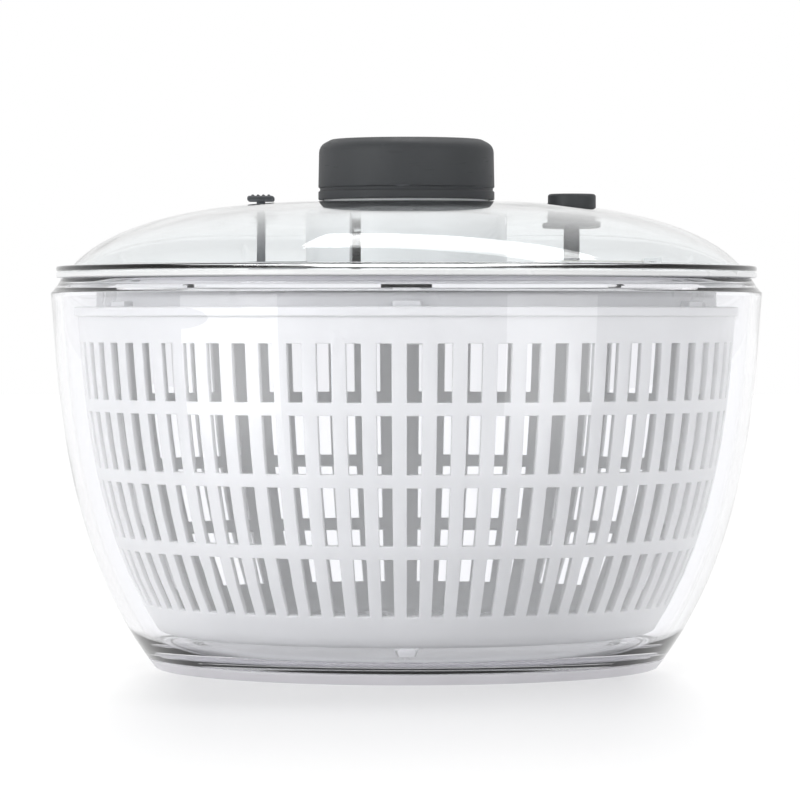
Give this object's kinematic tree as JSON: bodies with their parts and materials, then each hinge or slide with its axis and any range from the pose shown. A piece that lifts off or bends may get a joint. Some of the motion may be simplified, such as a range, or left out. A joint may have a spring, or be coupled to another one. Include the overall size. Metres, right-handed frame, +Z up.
{
  "type": "salad spinner",
  "caption": "Salad spinner with a clear glass bowl, a slotted basket and a domed lid whose press-down knob spins the basket; brake button and knob lock.",
  "frame": {"origin": "centre of the foot, on the surface the bowl stands on", "axes": "+Z up the spin axis towards the knob, +X from the knob to the brake button"},
  "size_m": [0.266, 0.266, 0.1972],
  "materials": {
    "clear_glass": "polished",
    "clear_silicone": "matte",
    "white_basket_plastic": "satin",
    "white_lid_plastic": "satin",
    "clear_plastic": "polished",
    "charcoal_soft_plastic": "soft touch",
    "natural_acetal": "moulded",
    "spring_steel": "bright",
    "brake_rubber": "matte"
  },
  "bodies": {
    "bowl": {"bowl": "clear_glass", "non_slip_ring": "clear_silicone"},
    "basket": {"basket": "white_basket_plastic"},
    "lid": {"lid_base": "white_lid_plastic", "lid_gasket": "clear_silicone", "drive_bush": "natural_acetal", "mechanism_housing": "white_lid_plastic", "housing_cap": "white_lid_plastic", "housing_screw_1": "spring_steel", "housing_screw_2": "spring_steel", "housing_screw_3": "spring_steel", "return_spring": "spring_steel", "lid_cover": "clear_plastic", "brake_pin": "spring_steel", "brake_spring": "spring_steel"},
    "turntable": {"turntable": "white_lid_plastic", "hub_cap": "white_lid_plastic", "ratchet_drum": "natural_acetal", "thrust_washer": "spring_steel", "drum_screw_1": "spring_steel", "drum_screw_2": "spring_steel", "drum_screw_3": "spring_steel"},
    "nut": {"drive_nut": "natural_acetal", "pawl_pin_1": "spring_steel", "pawl_pin_2": "spring_steel"},
    "pawl_right": {"pawl_right": "natural_acetal"},
    "pawl_left": {"pawl_left": "natural_acetal"},
    "knob": {"knob_core": "white_lid_plastic", "knob_cap": "charcoal_soft_plastic", "twisted_drive_bar": "spring_steel", "knob_screw_1": "spring_steel"},
    "brake_button": {"brake_button": "charcoal_soft_plastic"},
    "brake_lever": {"brake_lever": "natural_acetal", "brake_pad": "brake_rubber"},
    "knob_lock": {"knob_lock": "charcoal_soft_plastic"}
  },
  "joints": [
    {"name": "lid_lift", "type": "slide", "parent": "bowl", "child": "lid", "axis": [0, 0, 1], "range_m": [0, 0.15]},
    {"name": "basket_spin", "type": "hinge", "parent": "bowl", "child": "basket", "pos_m": [0, 0, 0.0164], "axis": [0, 0, 1], "continuous": true},
    {"name": "turntable_spin", "type": "hinge", "parent": "lid", "child": "turntable", "pos_m": [0, 0, 0.139], "axis": [0, 0, 1], "continuous": true},
    {"name": "knob_press", "type": "slide", "parent": "lid", "child": "knob", "axis": [0, 0, -1], "range_m": [0, 0.024], "stiffness_N_per_m": 260, "springref_m": -0.022, "deforming": ["return_spring"]},
    {"name": "nut_spin", "type": "hinge", "parent": "lid", "child": "nut", "pos_m": [0, 0, 0.1491], "axis": [0, 0, 1], "range_deg": [0, 541]},
    {"name": "pawl_right_swing", "type": "hinge", "parent": "nut", "child": "pawl_right", "pos_m": [0.0084, 0, 0.1509], "axis": [0, 0, -1], "range_deg": [0, 10.5]},
    {"name": "pawl_left_swing", "type": "hinge", "parent": "nut", "child": "pawl_left", "pos_m": [-0.0084, 0, 0.1509], "axis": [0, 0, -1], "range_deg": [0, 10.5]},
    {"name": "brake_press", "type": "slide", "parent": "lid", "child": "brake_button", "axis": [0, 0, -1], "range_m": [0, 0.004], "stiffness_N_per_m": 600, "springref_m": -0.002, "deforming": ["brake_spring"]},
    {"name": "brake_lever_tilt", "type": "hinge", "parent": "lid", "child": "brake_lever", "pos_m": [0.092, 0, 0.1518], "axis": [0, -1, 0], "range_deg": [0, 7.7]},
    {"name": "lock_slide", "type": "slide", "parent": "lid", "child": "knob_lock", "axis": [1, 0, 0], "range_m": [0, 0.004]}
  ],
  "couplings": [
    {"joint": "turntable_spin", "follows": "basket_spin", "ratio": 1},
    {"joint": "nut_spin", "follows": "knob_press", "rad_per_m": 392.7},
    {"joint": "brake_lever_tilt", "follows": "brake_press", "rad_per_m": 33.333}
  ]
}
